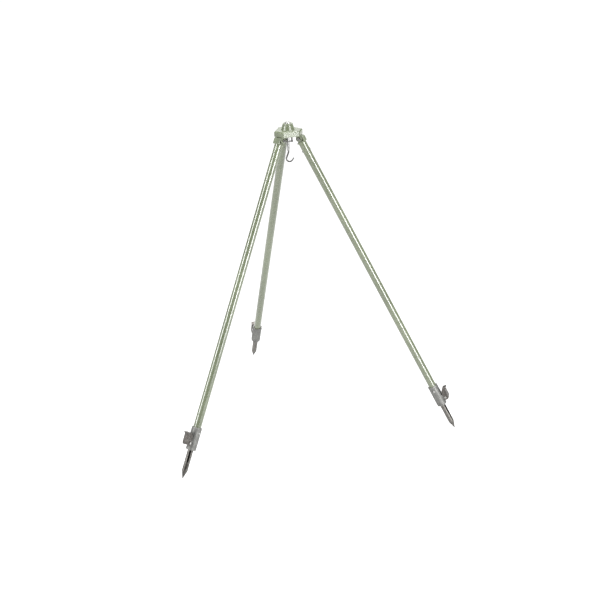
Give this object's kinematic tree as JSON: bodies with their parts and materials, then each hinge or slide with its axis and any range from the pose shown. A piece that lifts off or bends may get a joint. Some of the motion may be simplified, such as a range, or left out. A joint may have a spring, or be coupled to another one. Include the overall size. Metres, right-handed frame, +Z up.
{
  "type": "surveyor tripod",
  "caption": "Three-legged surveying stand with a hinged cone-topped head, plumb-bob hook, telescopic tube legs, cam clamps and steel points.",
  "frame": {"origin": "centre of the head's seat, on the vertical axis where the centring spigot stands up", "axes": "+Z up along the spigot; the rear leg points to +Y, the other two stand at 120 degrees from it towards -X and +X"},
  "size_m": [1.025, 0.8903, 1.1293],
  "materials": {
    "green_casting": "semi-gloss enamel over a rough casting",
    "green_tube": "gloss enamel",
    "grey_casting": "fine light-alloy casting, dull grey",
    "lever_steel": "dark phosphated",
    "spike_steel": "dark oiled, worn",
    "dark_steel": "blackened",
    "bridge_steel": "satin zinc",
    "hook_steel": "satin wire",
    "stud_steel": "turned",
    "hinge_fasteners": "blackened",
    "bright_fasteners": "bright zinc",
    "painted_rivets": "enamel, chipped",
    "brass": "turned brass"
  },
  "bodies": {
    "head": {"head_casting": "green_casting", "instrument_stud": "stud_steel", "hook_bridge": "bridge_steel", "bridge_posts": "bridge_steel", "bridge_screws": "bright_fasteners", "left_hinge_bolt": "hinge_fasteners", "left_hinge_nut": "hinge_fasteners", "right_hinge_bolt": "hinge_fasteners", "right_hinge_nut": "hinge_fasteners", "rear_hinge_bolt": "hinge_fasteners", "rear_hinge_nut": "hinge_fasteners"},
    "hook": {"hook_spindle": "dark_steel", "plumb_hook": "hook_steel"},
    "left_leg": {"left_leg_fitting": "green_casting", "left_fitting_rivets": "painted_rivets", "left_leg_tube": "green_tube", "left_lower_bush": "brass", "left_clamp_collar": "grey_casting", "left_collar_rivets": "bright_fasteners", "left_lever_pin": "bright_fasteners"},
    "left_inner": {"left_inner_leg": "spike_steel", "left_guide_ring": "brass", "left_spike_point": "spike_steel"},
    "left_lever": {"left_cam_lever": "lever_steel"},
    "left_shoe": {"left_clamp_shoe": "brass"},
    "right_leg": {"right_leg_fitting": "green_casting", "right_fitting_rivets": "painted_rivets", "right_leg_tube": "green_tube", "right_lower_bush": "brass", "right_clamp_collar": "grey_casting", "right_collar_rivets": "bright_fasteners", "right_lever_pin": "bright_fasteners"},
    "right_inner": {"right_inner_leg": "spike_steel", "right_guide_ring": "brass", "right_spike_point": "spike_steel"},
    "right_lever": {"right_cam_lever": "lever_steel"},
    "right_shoe": {"right_clamp_shoe": "brass"},
    "rear_leg": {"rear_leg_fitting": "green_casting", "rear_fitting_rivets": "painted_rivets", "rear_leg_tube": "green_tube", "rear_lower_bush": "brass", "rear_clamp_collar": "grey_casting", "rear_collar_rivets": "bright_fasteners", "rear_lever_pin": "bright_fasteners"},
    "rear_inner": {"rear_inner_leg": "spike_steel", "rear_guide_ring": "brass", "rear_spike_point": "spike_steel"},
    "rear_lever": {"rear_cam_lever": "lever_steel"},
    "rear_shoe": {"rear_clamp_shoe": "brass"}
  },
  "joints": [
    {"name": "left_leg_fold", "type": "hinge", "parent": "head", "child": "left_leg", "pos_m": [-0.03564, -0.02058, -0.05098], "axis": [0.5, -0.866, 0], "range_deg": [0, 27.1]},
    {"name": "left_leg_extend", "type": "slide", "parent": "left_leg", "child": "left_inner", "axis": [-0.3945, -0.2278, -0.8902], "range_m": [0, 0.7]},
    {"name": "left_lever_open", "type": "hinge", "parent": "left_leg", "child": "left_lever", "pos_m": [-0.48148, -0.27798, -0.99994], "axis": [0.5, -0.866, 0], "range_deg": [0, 85]},
    {"name": "left_shoe_travel", "type": "slide", "parent": "left_leg", "child": "left_shoe", "axis": [-0.7709, -0.4451, 0.4555], "range_m": [0, 0.0008]},
    {"name": "right_leg_fold", "type": "hinge", "parent": "head", "child": "right_leg", "pos_m": [0.03564, -0.02058, -0.05098], "axis": [0.5, 0.866, 0], "range_deg": [0, 27.1]},
    {"name": "right_leg_extend", "type": "slide", "parent": "right_leg", "child": "right_inner", "axis": [0.3945, -0.2278, -0.8902], "range_m": [0, 0.7]},
    {"name": "right_lever_open", "type": "hinge", "parent": "right_leg", "child": "right_lever", "pos_m": [0.48148, -0.27798, -0.99994], "axis": [0.5, 0.866, 0], "range_deg": [0, 85]},
    {"name": "right_shoe_travel", "type": "slide", "parent": "right_leg", "child": "right_shoe", "axis": [0.7709, -0.4451, 0.4555], "range_m": [0, 0.0008]},
    {"name": "rear_leg_fold", "type": "hinge", "parent": "head", "child": "rear_leg", "pos_m": [0, 0.04115, -0.05098], "axis": [-1, 0, 0], "range_deg": [0, 27.1]},
    {"name": "rear_leg_extend", "type": "slide", "parent": "rear_leg", "child": "rear_inner", "axis": [0, 0.4555, -0.8902], "range_m": [0, 0.7]},
    {"name": "rear_lever_open", "type": "hinge", "parent": "rear_leg", "child": "rear_lever", "pos_m": [0, 0.55597, -0.99994], "axis": [-1, 0, 0], "range_deg": [0, 85]},
    {"name": "rear_shoe_travel", "type": "slide", "parent": "rear_leg", "child": "rear_shoe", "axis": [0, 0.8902, 0.4555], "range_m": [0, 0.0008]},
    {"name": "hook_swivel", "type": "hinge", "parent": "head", "child": "hook", "pos_m": [0, 0, -0.065], "axis": [0, 0, 1], "continuous": true}
  ],
  "couplings": [
    {"joint": "left_shoe_travel", "follows": "left_lever_open", "m_per_rad": 0.00053872},
    {"joint": "right_shoe_travel", "follows": "right_lever_open", "m_per_rad": 0.00053872},
    {"joint": "rear_shoe_travel", "follows": "rear_lever_open", "m_per_rad": 0.00053872}
  ]
}
